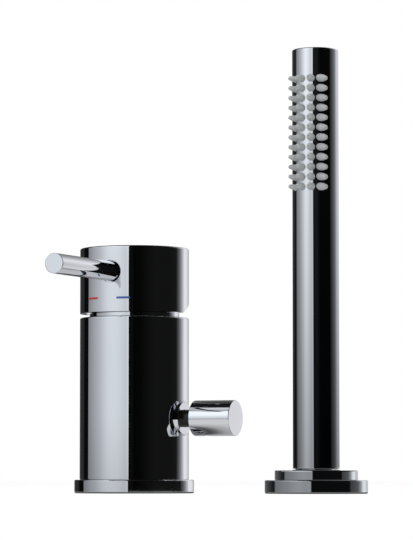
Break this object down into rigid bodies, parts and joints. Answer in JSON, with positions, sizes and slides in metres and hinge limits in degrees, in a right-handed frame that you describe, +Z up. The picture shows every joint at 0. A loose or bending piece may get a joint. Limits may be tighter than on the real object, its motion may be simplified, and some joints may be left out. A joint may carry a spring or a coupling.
{
  "type": "bath mixer",
  "caption": "Deck-mounted cylindrical single-lever bath mixer with a side diverter knob, and a stick hand shower standing upright in a round two-tier holder.",
  "frame": {"origin": "on the mixer's axis, at its underside, on the deck", "axes": "+Z up, -Y towards the user, the way the lever and the spray face, +X towards the hand shower"},
  "size_m": [0.1594, 0.1204, 0.2251],
  "materials": {
    "chrome": "polished",
    "raw_brass": "machined",
    "steel": "machined",
    "grey_silicone": "matt",
    "black_rubber": "matt",
    "ceramic": "lapped",
    "black_plastic": "moulded",
    "white_plastic": "moulded",
    "red_enamel": "gloss",
    "blue_enamel": "gloss"
  },
  "bodies": {
    "root": {"base_flange": "chrome", "base_gasket": "black_rubber", "mixer_body": "chrome", "check_valve_hot": "black_plastic", "check_valve_cold": "black_plastic", "cartridge_base": "white_plastic", "cartridge_seals": "black_rubber", "ceramic_disc_fixed": "ceramic", "cartridge_housing": "white_plastic", "cartridge_nut": "raw_brass", "neck_cover": "chrome", "diverter_gland": "chrome", "holder_flange": "chrome", "holder_gasket": "black_rubber", "holder_collar": "chrome"},
    "carrier": {"cartridge_driver": "white_plastic", "ceramic_disc_moving": "ceramic", "stem_pin": "steel"},
    "handle": {"lever_stem": "steel", "handle_cap": "chrome", "lever_rod": "chrome", "grub_screw": "steel", "hot_mark": "red_enamel", "cold_mark": "blue_enamel"},
    "diverter": {"diverter_knob": "chrome", "diverter_spindle": "raw_brass", "diverter_screw": "steel", "diverter_orings": "black_rubber"},
    "bush": {"guide_bush": "black_plastic"},
    "wand": {"handset_tube": "chrome", "handset_end_cap": "chrome", "nozzle_strip": "grey_silicone", "spray_core": "white_plastic", "handset_inlet": "raw_brass", "inlet_seal": "black_rubber"}
  },
  "joints": [
    {"name": "handle_turn", "type": "hinge", "parent": "root", "child": "carrier", "pos_m": [0, 0, 0.08], "axis": [0, 0, 1], "range_deg": [-45, 45]},
    {"name": "handle_tilt", "type": "hinge", "parent": "carrier", "child": "handle", "pos_m": [0, 0, 0.0874], "axis": [-1, 0, 0], "range_deg": [0, 22]},
    {"name": "diverter_turn", "type": "hinge", "parent": "root", "child": "diverter", "pos_m": [0.03, 0, 0.0385], "axis": [1, 0, 0], "range_deg": [0, 90]},
    {"name": "bush_swivel", "type": "hinge", "parent": "root", "child": "bush", "pos_m": [0.1024, 0, 0.006], "axis": [0, 0, 1], "continuous": true},
    {"name": "wand_lift", "type": "slide", "parent": "bush", "child": "wand", "axis": [0, 0, 1], "range_m": [0, 0.12]}
  ]
}
